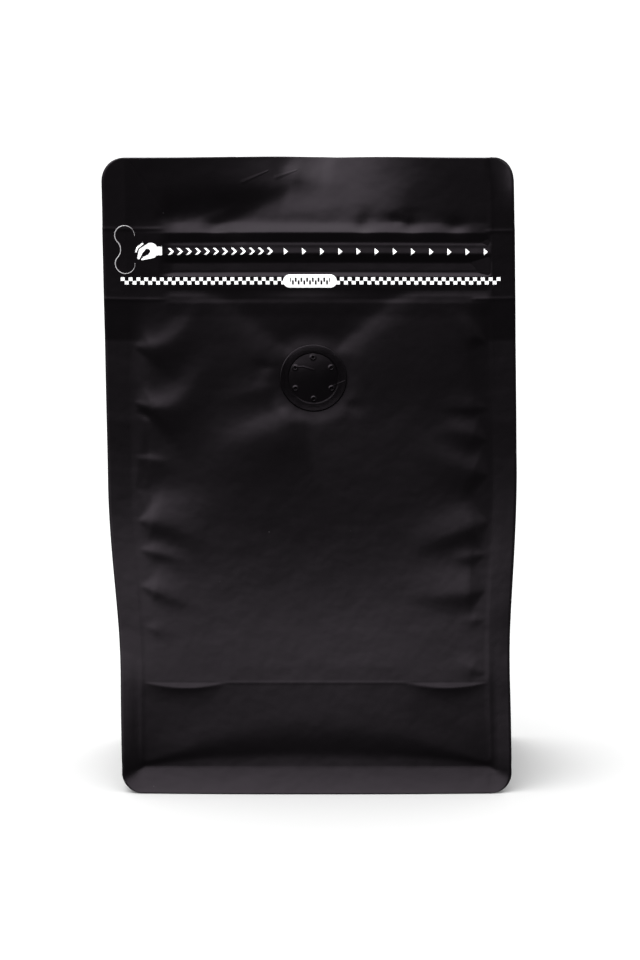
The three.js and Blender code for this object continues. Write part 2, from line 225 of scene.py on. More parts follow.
def make_sheet(name, points, uv, turned=False):
    """A smooth mesh through a grid of points in millimetres, with film coordinates as its UV map."""
    rows, columns, _ = points.shape
    index = np.arange(rows * columns).reshape(rows, columns)
    corners = [index[:-1, :-1], index[:-1, 1:], index[1:, 1:], index[1:, :-1]]
    quads = np.stack(corners[::-1] if turned else corners, axis=-1).reshape(-1, 4)
    mesh = bpy.data.meshes.new(name)
    mesh.vertices.add(rows * columns)
    mesh.vertices.foreach_set("co", (points * MM).ravel())
    mesh.loops.add(quads.size)
    mesh.loops.foreach_set("vertex_index", quads.ravel())
    mesh.polygons.add(len(quads))
    mesh.polygons.foreach_set("loop_start", np.arange(0, quads.size, 4))
    mesh.polygons.foreach_set("use_smooth", np.ones(len(quads), bool))
    mesh.update(calc_edges=True)
    layer = mesh.uv_layers.new(name="film")
    layer.data.foreach_set("uv", uv.reshape(-1, 2)[quads.ravel()].ravel())
    piece = bpy.data.objects.new(name, mesh)
    bpy.context.collection.objects.link(piece)
    return piece


def finish_film(piece, material):
    """Thickens a sheet of film inwards from its outer face, and puts it in the place of the solid bag."""
    wall = piece.modifiers.new("thickness", "SOLIDIFY")
    wall.thickness = FILM_THICKNESS * MM
    wall.offset = -1.0
    piece.data.materials.append(material)
    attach(piece, "root")
    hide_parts("bag")


# Rows and columns of the panel's grid, close together where the film bends sharply
CORNER_STEPS = 9
corner_rows = 1.0 - np.cos(np.linspace(0.0, np.pi / 2.0, CORNER_STEPS))
panel_rows = np.concatenate([
    FOOT_CORNER * corner_rows[:-1],
    spaced((FOOT_CORNER, 0.5), (20.0, 0.9), (CREASE - 3.5, 0.35), (CREASE + 2.5, 0.75),
           (BAND_FOOT - 4.0, 0.35), (BAND_TOP + 3.0, 0.8), (PANEL_HEIGHT - CORNER_RADIUS, 1.0)),
    PANEL_HEIGHT - CORNER_RADIUS * corner_rows[-2::-1],
])
half_places = np.concatenate([
    spaced((0.0, 0.024), (0.88, 0.01), (1.0, 0.0)),
    1.0 + spaced((0.0, 0.06), (0.3, 0.14), (1.0, 0.0))[1:],
])
panel_places = np.concatenate([-half_places[:0:-1], half_places])
front_u, front_v = panel_coordinates(panel_places, panel_rows)

# Zipper ribs, pressed through the film: height up the panel and how far the film stands out there
ZIPPER_RIBS = np.array([
    (152.0, 0.0), (156.0, 0.25), (158.1, 0.08), (159.1, -0.1), (160.0, -0.2), (161.7, -0.11), (164.5, -0.11),
    (165.5, -0.92), (166.3, -0.95), (168.9, -1.25), (171.6, 0.13), (173.5, -0.29), (174.4, -0.38),
    (175.2, -0.63), (178.2, 0.15), (181.5, -0.1), (186.0, 0.0),
])
RIBS_LEFT = (-46.8, -43.5)
RIBS_RIGHT = (56.2, 57.6)
ROLL_PINCHES = (-29.9, 17.5, 32.3, 46.5)
PINCH_HEIGHT = 180.2
PINCH_WIDTH = 2.6
PINCH_LENGTH = 2.2
PINCH_DEPTH = 0.7


def zipper_ribs(u, v):
    """The ribs' profile up the panel, fading out short of the left fin and at the right one. The roll along
    the top is pinched in at a few places."""
    relief = np.interp(v, *ZIPPER_RIBS.T)
    pinches = sum(hump(u, place, PINCH_WIDTH) for place in ROLL_PINCHES)
    pinched = pinches * hump(v, PINCH_HEIGHT, PINCH_LENGTH)
    return relief * ease(*RIBS_LEFT, u) * (1.0 - ease(*RIBS_RIGHT, u)) - PINCH_DEPTH * pinched


# Marks on the fins: weld lines at the zipper's ends (side, where it starts, height), and the kink under it
# where the fins start to fold back
WELD_LINES = ((-1.0, 45.5, 179.6), (-1.0, 45.0, 157.1), (1.0, 55.0, 178.9), (1.0, 50.5, 157.3))
WELD_LINE_HEIGHT = 0.12
WELD_LINE_WIDTH = 0.5
WELD_LINE_FADE = 2.0
KINK_TOP = 157.0
KINK = 144.0
KINK_END = 118.0
KINK_DEPTH = 1.5
KINK_SIDES = (49.0, 57.0)
SEAM_PLACE = 57.5
SEAM_HEIGHT = 0.06
SEAM_WIDTH = 0.5
SEAM_SHOWS = (110.0, 150.0)


def fin_marks(u, v):
    """Thin ridges across the fins at the weld lines and up the right seam, and a kink that is drawn back in a
    straight line from its top, then comes forward again more slowly."""
    relief = sum(
        WELD_LINE_HEIGHT * hump(v, height, WELD_LINE_WIDTH) * ease(start, start + WELD_LINE_FADE, u * side)
        for side, start, height in WELD_LINES
    )
    relief += SEAM_HEIGHT * hump(u, SEAM_PLACE, SEAM_WIDTH) * ease(*SEAM_SHOWS, v)
    kink = np.interp(v, (KINK_END, KINK, KINK_TOP), (0.0, KINK_DEPTH, 0.0))
    return relief - kink * ease(*KINK_SIDES, np.abs(u))


# Crease marks: a lens of film pushed out under the crease beside each seal, given by its middle and half its
# length, a fine ridge along the crease between them, and the fainter line of an older crease above
CREASE_LENSES = ((-43.6, 13.6), (44.0, 13.6))
LENS_DROP = 1.8
LENS_RISE = 0.38
LENS_SINK = 0.4
LENS_UNDERSIDE = 2.5
LENS_RETURN = 11.0
LEAST_DROP = 0.01
CREASE_RIDGE = 0.06
CREASE_RIDGE_WIDTH = 0.4
CREASE_RIDGE_ENDS = (28.0, 33.0)
OLD_CREASE = CREASE + 5.3
OLD_CREASE_HALF = 31.0
OLD_CREASE_SAG = 1.2
OLD_CREASE_HEIGHT = 0.14
OLD_CREASE_FADE = 22.0
OLD_CREASE_ENDS = (0.8, 1.1)


def crease_marks(u, v):
    """Each lens has a crest that hangs below the crease in an arc. The film comes out evenly from the crease
    to the crest, falls away under it to a hollow, and comes slowly out of that again."""
    relief = CREASE_RIDGE * hump(v, CREASE, CREASE_RIDGE_WIDTH) * (1.0 - ease(*CREASE_RIDGE_ENDS, np.abs(u)))
    old_crease = OLD_CREASE - OLD_CREASE_SAG * (u / OLD_CREASE_HALF) ** 4
    rising = (v - CREASE) / (old_crease - CREASE)
    falling = 1.0 - (v - old_crease) / OLD_CREASE_FADE
    ridge = np.clip(np.minimum(rising, falling), 0.0, 1.0)
    relief += OLD_CREASE_HEIGHT * ridge * (1.0 - ease(*OLD_CREASE_ENDS, np.abs(u) / OLD_CREASE_HALF))
    for middle, half in CREASE_LENSES:
        share = np.clip(1.0 - ((u - middle) / half) ** 2, 0.0, 1.0)
        drop = np.maximum(LENS_DROP * share, LEAST_DROP)
        crest = CREASE - drop
        above = np.clip((CREASE - v) / drop, 0.0, 1.0)
        under = np.maximum(0.0, crest - v)
        below = (LENS_RISE + LENS_SINK) * np.exp(-under / LENS_UNDERSIDE)
        below -= LENS_SINK * np.exp(-under / LENS_RETURN)
        relief += share * np.where(v > crest, LENS_RISE * above, below)
    return relief


# Folds: crest's start, crest's end, how far it bows up, width above it, width below it, height
LEFT_PLEATS = [
    ((-56.1, 142.3), (-29.0, 159.0), -5.0, 3.6, 8.0, 1.0),
    ((-56.2, 124.2), (-27.0, 141.0), -7.2, 5.0, 9.0, 1.5),
    ((-56.0, 121.3), (-49.0, 119.3), 0.0, 1.3, 1.5, -0.3),
    ((-56.2, 106.6), (-43.0, 104.5), 0.0, 1.6, 5.0, 0.45),
    ((-56.5, 96.5), (-24.0, 98.0), 0.0, 14.0, 5.5, -0.6),
    ((-56.0, 86.0), (-28.0, 77.0), 2.0, 6.5, 4.0, 0.9),
    ((-56.2, 77.0), (-38.0, 72.8), 0.4, 2.6, 2.2, 0.5),
    ((-56.6, 65.2), (-38.0, 58.8), 0.3, 5.0, 2.4, 0.6),
    ((-56.8, 52.5), (-47.0, 50.0), 0.0, 2.0, 1.8, 0.2),
]
RIGHT_PLEATS = [
    ((56.3, 142.5), (42.0, 156.0), 0.0, 2.6, 3.5, 0.55),
    ((55.8, 143.8), (48.0, 146.0), 0.0, 1.4, 2.0, 0.25),
    ((56.2, 121.9), (38.0, 123.5), 0.0, 4.0, 1.6, 0.5),
    ((56.0, 111.8), (38.0, 117.5), 0.3, 4.0, 4.0, 0.8),
    ((56.2, 100.8), (28.0, 112.5), -1.0, 5.0, 6.0, 0.95),
    ((56.0, 85.8), (26.0, 77.0), 0.0, 6.5, 4.5, 1.2),
    ((55.8, 75.3), (42.0, 74.2), 0.0, 3.0, 2.2, 0.45),
    ((55.8, 63.8), (26.0, 63.5), -0.6, 8.0, 4.0, 0.9),
    ((56.4, 54.6), (48.0, 54.4), 0.0, 2.0, 1.4, 0.2),
    ((57.0, 37.5), (45.0, 42.0), 0.0, 3.0, 2.5, 0.3),
]
PANEL_FOLDS = [
    ((4.9, 130.2), (-62.7, 192.6), 0.0, 11.0, 4.8, -1.1),
    ((-4.3, 130.9), (62.7, 192.5), 0.0, 11.0, 4.4, -1.1),
    ((-6.5, 124.0), (-37.0, 113.0), 0.0, 8.0, 4.0, -0.45),
    ((-2.0, 119.5), (-42.0, 104.0), 0.0, 9.0, 12.0, 1.3),
    ((-10.0, 135.5), (-20.0, 136.0), 0.0, 2.0, 2.0, -0.35),
    ((-9.8, 129.8), (-32.0, 124.5), 0.0, 3.0, 4.0, 0.4),
    ((10.0, 125.5), (17.0, 120.5), 0.0, 2.0, 2.0, -0.3),
]
HEADER_FOLDS = [
    ((-29.9, 180.0), (14.0, 201.5), 0.0, 9.0, 6.0, -1.5),
    ((-9.0, 197.5), (14.0, 192.5), 0.0, 4.0, 4.0, 1.0),
    ((-29.5, 180.2), (-36.0, 197.0), 0.0, 5.0, 5.0, -0.9),
    ((-48.0, 183.0), (-30.0, 187.0), 0.0, 5.0, 4.5, -1.0),
    ((17.5, 180.0), (19.5, 187.5), 0.0, 1.6, 1.6, -0.35),
    ((30.5, 181.6), (24.5, 183.4), 0.0, 1.6, 1.6, -0.4),
    ((32.3, 180.0), (34.5, 195.0), 0.0, 3.5, 3.5, -0.25),
    ((5.0, 181.0), (2.5, 199.0), 0.0, 10.0, 8.0, 0.3),
    ((30.0, 181.0), (27.0, 199.0), 0.0, 7.0, 8.0, 0.3),
    ((-6.0, 193.5), (-60.0, 188.5), 0.0, 7.0, 5.5, 0.75),
    ((10.0, 204.0), (-56.0, 203.0), 0.0, 8.0, 8.0, -1.5),
]
FOLD_OPENING = 5.0
FOLD_OPENING_SHARE = 0.4
FOLD_POINT = 0.08
FOLD_CREST = 1.8
BOW_SCALE = 27.0 / 4.0


def fold(u, v, start, end, bow, above, below, height):
    """One fold, which opens as a cone from its start, with its width and height growing together, and dies
    away towards its end. Its crest bows off the straight line, most at a third of its length, where
    t (1 - t)^2 peaks at 4/27. Across it the height falls off over one width above the crest and another
    below it."""
    run = np.subtract(end, start)
    length = np.hypot(*run)
    along = ((u - start[0]) * run[0] + (v - start[1]) * run[1]) / length**2
    across = ((v - start[1]) * run[0] - (u - start[0]) * run[1]) / length * np.sign(run[0])
    across = across - bow * BOW_SCALE * along * (1.0 - along) ** 2
    opening_length = min(FOLD_OPENING, FOLD_OPENING_SHARE * length)
    opening = np.clip(along * length / opening_length, 0.0, 1.0)
    width = np.where(across > 0.0, above, below) * np.maximum(FOLD_POINT, opening)
    fade = 1.0 - ease(opening_length / length, 1.0, along)
    return height * opening * fade * np.exp(-(np.abs(across) / width) ** FOLD_CREST)


def folds(u, v, *lists):
    """The sum of all the folds in the lists."""
    return sum(fold(u, v, *one) for group in lists for one in group)


# Header above the zipper, where front and back lie together: its middle leans back and a corner curls back
SWAY_FOOT = 181.5
SWAY_ROUND = 3.0
SWAY_LEAN = 25.0
SWAY_PLACE = 6.0
SWAY_WIDTH = 22.0
SWAY_DROP = 0.4
CURL_FOOT = 186.0
CURL_RATE = 0.02
CURL_START = HALF_BODY - 2.0


def header_shape(u, v):
    """How far the header stands back and how far it is lowered by leaning, both films together. The lowering
    is less than the lean alone would give, since the top edge is nearly level."""
    angle = np.radians(SWAY_LEAN) * hump(u, SWAY_PLACE, SWAY_WIDTH)
    risen = bend(v - SWAY_FOOT, SWAY_ROUND)
    curl = CURL_RATE * np.maximum(0.0, v - CURL_FOOT) ** 2 * ease(CURL_START, HALF_PANEL, u)
    back = np.sin(angle) * risen + curl - folds(u, v, HEADER_FOLDS)
    return back, SWAY_DROP * (1.0 - np.cos(angle)) * risen


def with_header(points, u, v):
    """The points moved as the header is."""
    back, down = header_shape(u, v)
    return points + np.stack([np.zeros_like(u), back, -down], axis=-1)


# Where the film is too stiff to fold: along the welds and the zipper band, and on the valve's sunken seat
WELD_EDGE = (HALF_BODY - 1.5, HALF_BODY + 0.5)
BAND_EDGE = (BAND_FOOT, BAND_FOOT + 4.0)
VALVE_U = 0.8
VALVE_V = 132.3
VALVE_RADIUS = 10.6
VALVE_SEAT = -0.7
SEAT_EDGE = (VALVE_RADIUS - 2.0, VALVE_RADIUS + 5.0)
within_seals = 1.0 - ease(*WELD_EDGE, np.abs(front_u))
below_band = 1.0 - ease(*BAND_EDGE, front_v)
off_valve = ease(*SEAT_EDGE, np.hypot(front_u - VALVE_U, front_v - VALVE_V))
front_relief = zipper_ribs(front_u, front_v) + fin_marks(front_u, front_v)
front_relief += within_seals * crease_marks(front_u, front_v)
front_folds = folds(front_u, front_v, LEFT_PLEATS, RIGHT_PLEATS, PANEL_FOLDS)
front_relief += below_band * mix(VALVE_SEAT, front_folds, off_valve)
front_form = panel_form(panel_places, panel_rows, BAND_BOW)
front_points = front_form + front_relief[..., None] * outward(front_form)
front_points = with_header(front_points, front_u, front_v)
front_film = make_sheet("front_film", front_points, np.stack([front_u, front_v], axis=-1))

# Film's finish: near-black laminate with a matt face, seen close up
FILM_BLACK = (0.0004, 0.0003, 0.0004, 1.0)
FILM_WORN = (0.0009, 0.0008, 0.0009, 1.0)
DUST_GREY = (0.08, 0.075, 0.08, 1.0)
FILM_SHINE_TINT = (1.0, 0.86, 1.0, 1.0)
FILM_SHINE = 0.125
MATT_LOW = 0.36
MATT_HIGH = 0.44
MOTTLE_SCALE = 0.11
MOTTLE_HEIGHT = 0.22
CRINKLE_SCALE = 0.42
CRINKLE_HEIGHT = 0.014
GRAIN_SCALE = 2.4
GRAIN_HEIGHT = 0.007
SEAL_GRAIN_HEIGHT = 0.02
DUST_SPACING = 9.0
DUST_SIZE = 0.012
NOISE_DETAIL = 2.0


def feed(tree, socket, value):
    """Joins another node's output to a socket, or sets the socket to a plain value."""
    if isinstance(value, bpy.types.NodeSocket):
        tree.links.new(value, socket)
    else:
        socket.default_value = value


def add_node(tree, kind, operation, values):
    """Adds a node that does one operation on numbers or on other nodes' outputs."""
    node = tree.nodes.new(kind)
    node.operation = operation
    for socket, value in zip(node.inputs, values):
        feed(tree, socket, value)
    return node


def number_maths(tree):
    """A function that adds a Math node to the tree and gives its output."""
    return lambda operation, *values: add_node(tree, "ShaderNodeMath", operation, values).outputs["Value"]


def vector_maths(tree):
    """A function that adds a Vector Math node to the tree and gives its outputs."""
    return lambda operation, *values: add_node(tree, "ShaderNodeVectorMath", operation, values).outputs


def noise(tree, place, scale):
    """Noise of 0 to 1 with so many waves to the millimetre."""
    node = tree.nodes.new("ShaderNodeTexNoise")
    tree.links.new(place, node.inputs["Vector"])
    node.inputs["Scale"].default_value = scale
    node.inputs["Detail"].default_value = NOISE_DETAIL
    return node.outputs["Fac"]


def blend_colours(tree, share, first, second):
    """A colour that lies a share of the way from the first to the second."""
    node = tree.nodes.new("ShaderNodeMix")
    node.data_type = "RGBA"
    tree.links.new(share, node.inputs[0])
    feed(tree, node.inputs[6], first)
    feed(tree, node.inputs[7], second)
    return node.outputs[2]


def new_group(name, inputs, outputs):
    """An empty node group with named sockets, and what it is given and gives back."""
    group = bpy.data.node_groups.new(name, "ShaderNodeTree")
    for title, kind in inputs:
        group.interface.new_socket(title, in_out="INPUT", socket_type=kind)
    for title, kind in outputs:
        group.interface.new_socket(title, in_out="OUTPUT", socket_type=kind)
    return group, group.nodes.new("NodeGroupInput").outputs, group.nodes.new("NodeGroupOutput").inputs


def make_film_skin():
    """Colour, roughness and height in millimetres of the film's face at a place in millimetres. The height is
    soft mottling, crinkles and a fine grain that is coarser on the seals, and specks of dust lie on it."""
    group, given, gives = new_group(
        "film_skin",
        (("Place", "NodeSocketVector"), ("Seal", "NodeSocketFloat")),
        (("Color", "NodeSocketColor"), ("Roughness", "NodeSocketFloat"), ("Height", "NodeSocketFloat")),
    )
    calc = number_maths(group)
    mottle = noise(group, given["Place"], MOTTLE_SCALE)
    crinkle = noise(group, given["Place"], CRINKLE_SCALE)
    grain = noise(group, given["Place"], GRAIN_SCALE)
    grain_height = calc("MULTIPLY_ADD", given["Seal"], SEAL_GRAIN_HEIGHT - GRAIN_HEIGHT, GRAIN_HEIGHT)
    height = calc("MULTIPLY", grain, grain_height)
    height = calc("MULTIPLY_ADD", crinkle, CRINKLE_HEIGHT, height)
    height = calc("MULTIPLY_ADD", mottle, MOTTLE_HEIGHT, height)
    cells = group.nodes.new("ShaderNodeTexVoronoi")
    cells.inputs["Scale"].default_value = 1.0 / DUST_SPACING
    group.links.new(given["Place"], cells.inputs["Vector"])
    speck = calc("LESS_THAN", cells.outputs["Distance"], DUST_SIZE)
    film = blend_colours(group, crinkle, FILM_BLACK, FILM_WORN)
    group.links.new(blend_colours(group, speck, film, DUST_GREY), gives["Color"])
    group.links.new(calc("MULTIPLY_ADD", grain, MATT_HIGH - MATT_LOW, MATT_LOW), gives["Roughness"])
    group.links.new(height, gives["Height"])
    return group


film_skin = make_film_skin()


def new_film(name, roughness=None):
    """A film material with the skin's finish, and the nodes that a print or a seal is joined to. A roughness
    that is given holds all over, in place of the skin's own."""
    material = bpy.data.materials.new(name)
    material.use_nodes = True
    tree = material.node_tree
    shader = tree.nodes["Principled BSDF"]
    shader.inputs["Specular Tint"].default_value = FILM_SHINE_TINT
    shader.inputs["Specular IOR Level"].default_value = FILM_SHINE
    place = tree.nodes.new("ShaderNodeUVMap")
    place.uv_map = "film"
    skin = tree.nodes.new("ShaderNodeGroup")
    skin.node_tree = film_skin
    tree.links.new(place.outputs["UV"], skin.inputs["Place"])
    relief = tree.nodes.new("ShaderNodeBump")
    relief.inputs["Distance"].default_value = MM
    tree.links.new(skin.outputs["Height"], relief.inputs["Height"])
    tree.links.new(relief.outputs["Normal"], shader.inputs["Normal"])
    tree.links.new(skin.outputs["Color"], shader.inputs["Base Color"])
    feed(tree, shader.inputs["Roughness"], skin.outputs["Roughness"] if roughness is None else roughness)
    return material, place.outputs["UV"], skin, shader


def split_place(tree, place):
    """The two film coordinates of a place."""
    parts = tree.nodes.new("ShaderNodeSeparateXYZ")
    tree.links.new(place, parts.inputs["Vector"])
    return parts.outputs["X"], parts.outputs["Y"]


def mark_seals(tree, place, skin):
    """Tells the skin where a panel's side and base seals are."""
    calc = number_maths(tree)
    u, v = split_place(tree, place)
    beside = calc("GREATER_THAN", calc("ABSOLUTE", u), HALF_BODY)
    tree.links.new(calc("MAXIMUM", beside, calc("LESS_THAN", v, BASE_SEAL)), skin.inputs["Seal"])


# Print in white ink: a checked band with a pill on it, a row of arrowheads, a row of chevrons and a hand. The
# hand is drawn in strokes: start, end, radius at each end
INK_WHITE = (0.92, 0.92, 0.92, 1.0)
CHECK_LEFT = -59.5
CHECK_LENGTH = 119.8
CHECK_COUNT = 97
CHECK_WIDTH = CHECK_LENGTH / CHECK_COUNT
CHECK_FOOT = 161.9
CHECK_HEIGHT = 1.14
PILL_PLACE = (0.2, 162.95)
PILL_RADIUS = 2.05
PILL_STRAIGHT = 6.45
TEETH_HALF = 6.3
TOOTH_PITCH = 1.8
TOOTH_WIDTH = 0.6
TOOTH_LONG = 1.1
TOOTH_SHORT = 0.25
ARROW_COUNT = 12
ARROW_LEFT = -7.9
ARROW_PITCH = 5.73
ARROW_LENGTH = 1.28
ARROW_HALF = 1.1
ARROW_MIDDLE = 172.3
CHEVRON_COUNT = 12
CHEVRON_LEFT = -44.6
CHEVRON_PITCH = 2.84
CHEVRON_POINT = 1.6
CHEVRON_STROKE = 0.4
CHEVRON_HALF = 1.08
CHEVRON_MIDDLE = 172.4
HAND_STROKES = [
    ((-49.7, 173.3), (-49.2, 172.4), 1.9, 1.5),
    ((-49.0, 172.6), (-45.0, 172.6), 1.45, 1.3),
    ((-50.2, 174.0), (-52.9, 172.7), 1.1, 0.75),
    ((-52.9, 172.7), (-53.7, 170.4), 0.75, 0.42),
    ((-49.2, 171.2), (-52.6, 170.1), 0.85, 0.42),
    ((-52.4, 174.9), (-54.1, 173.6), 0.3, 0.32),
    ((-54.1, 173.6), (-54.5, 172.3), 0.32, 0.22),
]
HAND_HOLES = [
    ((-50.9, 172.5), (-52.0, 171.5), 0.85, 0.65),
    ((-52.0, 171.5), (-53.0, 170.1), 0.4, 0.14),
]
CUFF_RIGHT = -46.3
# Fine crinkles in the header's film: start, end, how wide at each end
CRINKLE_RIDGES = [
    ((-20.5, 194.3), (-12.5, 197.7), 0.9, 0.3),
    ((-10.0, 195.6), (-3.5, 198.0), 0.9, 0.3),
]
CRINKLE_GROOVES = [
    ((-55.6, 200.5), (-46.5, 186.5), 0.4, 1.2),
]
CRINKLE_RISE = 0.06


def make_ink_stroke():
    """A stroke between two points, with a round end of its own radius at each. The mask is 1 where the
    distance from the place to the line between the points is under the radius there. The ridge is 1 on the
    line and falls evenly to 0 at the radius."""
    group, given, gives = new_group(
        "ink_stroke",
        (("Place", "NodeSocketVector"), ("Start", "NodeSocketVector"), ("End", "NodeSocketVector"),
         ("Start Radius", "NodeSocketFloat"), ("End Radius", "NodeSocketFloat")),
        (("Mask", "NodeSocketFloat"), ("Ridge", "NodeSocketFloat")),
    )
    calc = number_maths(group)
    vector = vector_maths(group)
    run = vector("SUBTRACT", given["End"], given["Start"])["Vector"]
    from_start = vector("SUBTRACT", given["Place"], given["Start"])["Vector"]
    length = vector("DOT_PRODUCT", run, run)["Value"]
    along = calc("DIVIDE", vector("DOT_PRODUCT", from_start, run)["Value"], length)
    along = calc("MINIMUM", calc("MAXIMUM", along, 0.0), 1.0)
    offset = vector("SUBTRACT", from_start, vector("MULTIPLY", run, along)["Vector"])["Vector"]
    growth = calc("SUBTRACT", given["End Radius"], given["Start Radius"])
    radius = calc("MULTIPLY_ADD", growth, along, given["Start Radius"])
    share = calc("DIVIDE", vector("LENGTH", offset)["Value"], radius)
    group.links.new(calc("LESS_THAN", share, 1.0), gives["Mask"])
    group.links.new(calc("MAXIMUM", calc("SUBTRACT", 1.0, share), 0.0), gives["Ridge"])
    return group


ink_stroke = make_ink_stroke()


def draw_strokes(tree, place, strokes, profile="Mask"):
    """Several strokes together, as a mask or as ridges."""
    calc = number_maths(tree)
    drawn = 0.0
    for start, end, start_radius, end_radius in strokes:
        stroke = tree.nodes.new("ShaderNodeGroup")
        stroke.node_tree = ink_stroke
        tree.links.new(place, stroke.inputs["Place"])
        stroke.inputs["Start"].default_value = (*start, 0.0)
        stroke.inputs["End"].default_value = (*end, 0.0)
        stroke.inputs["Start Radius"].default_value = start_radius
        stroke.inputs["End Radius"].default_value = end_radius
        drawn = calc("MAXIMUM", stroke.outputs[profile], drawn)
    return drawn


def between(calc, x, low, high):
    """1 where x lies between two values."""
    return calc("MULTIPLY", calc("GREATER_THAN", x, low), calc("LESS_THAN", x, high))


def checked_band(calc, u, v):
    """Two rows of squares, inked where the column and row numbers add up to an odd number."""
    column = calc("FLOOR", calc("DIVIDE", calc("SUBTRACT", u, CHECK_LEFT), CHECK_WIDTH))
    row = calc("FLOOR", calc("DIVIDE", calc("SUBTRACT", v, CHECK_FOOT), CHECK_HEIGHT))
    odd = calc("MODULO", calc("ADD", column, row), 2.0)
    along = between(calc, u, CHECK_LEFT, CHECK_LEFT + CHECK_LENGTH)
    across = between(calc, v, CHECK_FOOT, CHECK_FOOT + 2.0 * CHECK_HEIGHT)
    return calc("MULTIPLY", odd, calc("MULTIPLY", along, across))


def zipper_pill(calc, u, v):
    """The pill, and the dark zipper teeth on it, which reach up and down in turn."""
    across = calc("SUBTRACT", u, PILL_PLACE[0])
    up = calc("SUBTRACT", v, PILL_PLACE[1])
    past = calc("MAXIMUM", calc("SUBTRACT", calc("ABSOLUTE", across), PILL_STRAIGHT), 0.0)
    reach = calc("SQRT", calc("ADD", calc("MULTIPLY", past, past), calc("MULTIPLY", up, up)))
    pill = calc("LESS_THAN", reach, PILL_RADIUS)
    teeth = 0.0
    for shift, low, high in ((0.0, -TOOTH_LONG, TOOTH_SHORT), (TOOTH_PITCH / 2.0, -TOOTH_SHORT, TOOTH_LONG)):
        turn = calc("WRAP", calc("ADD", across, shift), TOOTH_PITCH / 2.0, -TOOTH_PITCH / 2.0)
        tooth = calc("LESS_THAN", calc("ABSOLUTE", turn), TOOTH_WIDTH / 2.0)
        teeth = calc("MAXIMUM", calc("MULTIPLY", tooth, between(calc, up, low, high)), teeth)
    teeth = calc("MULTIPLY", teeth, calc("LESS_THAN", calc("ABSOLUTE", across), TEETH_HALF))
    return pill, teeth


def arrow_row(calc, u, v):
    """Solid arrowheads that point right: each narrows evenly from its base to its tip."""
    step = calc("DIVIDE", calc("SUBTRACT", u, ARROW_LEFT), ARROW_PITCH)
    along = calc("DIVIDE", calc("MULTIPLY", calc("FRACT", step), ARROW_PITCH), ARROW_LENGTH)
    half = calc("MULTIPLY", calc("SUBTRACT", 1.0, along), ARROW_HALF)
    arrow = calc("LESS_THAN", calc("ABSOLUTE", calc("SUBTRACT", v, ARROW_MIDDLE)), half)
    return calc("MULTIPLY", arrow, between(calc, step, 0.0, ARROW_COUNT))


def chevron_row(calc, u, v):
    """Open chevrons that point right: a stroke of even width about two slanted lines."""
    step = calc("DIVIDE", calc("SUBTRACT", u, CHEVRON_LEFT), CHEVRON_PITCH)
    up = calc("ABSOLUTE", calc("SUBTRACT", v, CHEVRON_MIDDLE))
    line = calc("SUBTRACT", CHEVRON_POINT, up)
    off = calc("ABSOLUTE", calc("SUBTRACT", calc("MULTIPLY", calc("FRACT", step), CHEVRON_PITCH), line))
    chevron = calc("MULTIPLY", calc("LESS_THAN", off, CHEVRON_STROKE), calc("LESS_THAN", up, CHEVRON_HALF))
    return calc("MULTIPLY", chevron, between(calc, step, 0.0, CHEVRON_COUNT))


def print_mask(tree, place):
    """Where the white ink lies."""
    calc = number_maths(tree)
    u, v = split_place(tree, place)
    hand = calc("MULTIPLY", draw_strokes(tree, place, HAND_STROKES), calc("LESS_THAN", u, CUFF_RIGHT))
    hand = calc("SUBTRACT", hand, draw_strokes(tree, place, HAND_HOLES))
    pill, teeth = zipper_pill(calc, u, v)
    ink = calc("MAXIMUM", checked_band(calc, u, v), pill)
    ink = calc("SUBTRACT", ink, teeth)
    for marks in (arrow_row(calc, u, v), chevron_row(calc, u, v), hand):
        ink = calc("MAXIMUM", ink, marks)
    return ink


printed_film, place, skin, shader = new_film("printed_film")
tree = printed_film.node_tree
mark_seals(tree, place, skin)
inked = blend_colours(tree, print_mask(tree, place), skin.outputs["Color"], INK_WHITE)
tree.links.new(inked, shader.inputs["Base Color"])
calc = number_maths(tree)
ridges = draw_strokes(tree, place, CRINKLE_RIDGES, "Ridge")
grooves = draw_strokes(tree, place, CRINKLE_GROOVES, "Ridge")
crinkled = calc("MULTIPLY_ADD", calc("SUBTRACT", ridges, grooves), CRINKLE_RISE, skin.outputs["Height"])
relief = shader.inputs["Normal"].links[0].from_node
tree.links.new(crinkled, relief.inputs["Height"])
finish_film(front_film, printed_film)

# Back panel. The same cut of film as the front, without the zipper, the valve or the print. It is welded to
# the gussets and the base film in the same way, and has pleats of its own where the contents push it out.
BACK_PLEAT_DROP = 4.0
BACK_PLEAT_HEIGHT = 0.85


def shifted(pleats, drop, height):
    """The pleats lower down the film and of another height."""
    return [
        ((start[0], start[1] - drop), (end[0], end[1] - drop), bow, above, below, rise * height)
        for start, end, bow, above, below, rise in pleats
    ]


back_pleats = shifted(LEFT_PLEATS + RIGHT_PLEATS, BACK_PLEAT_DROP, BACK_PLEAT_HEIGHT)
back_relief = folds(-front_u, front_v, back_pleats) + fin_marks(front_u, front_v)
back_relief += within_seals * crease_marks(front_u, front_v)
back_form = panel_form(panel_places, panel_rows, -BAND_BOW)
back_points = back_form + back_relief[..., None] * outward(back_form)
back_points = with_header(back_points * np.array([1.0, -1.0, 1.0]), front_u, front_v)
back_film = make_sheet("back_film", back_points, np.stack([-front_u, front_v], axis=-1), turned=True)
sealed_film, place, skin, _ = new_film("sealed_film")
mark_seals(sealed_film.node_tree, place, skin)
finish_film(back_film, sealed_film)

# Side gussets. Each is a strip of the same film, welded between the fins of the front and the back and folded
# inwards along its middle. Below the crease it opens into a flat triangle that stands on the foot.
HALF_GUSSET = 36.0
WELD_GAP = 0.02
BEHIND_WELD = 2.0 * FILM_THICKNESS + WELD_GAP
GUSSET_COLUMNS = 61
GUSSET_SOFTNESS = 1.2
GUSSET_HUG = 2.2
HUG_START = 90.0


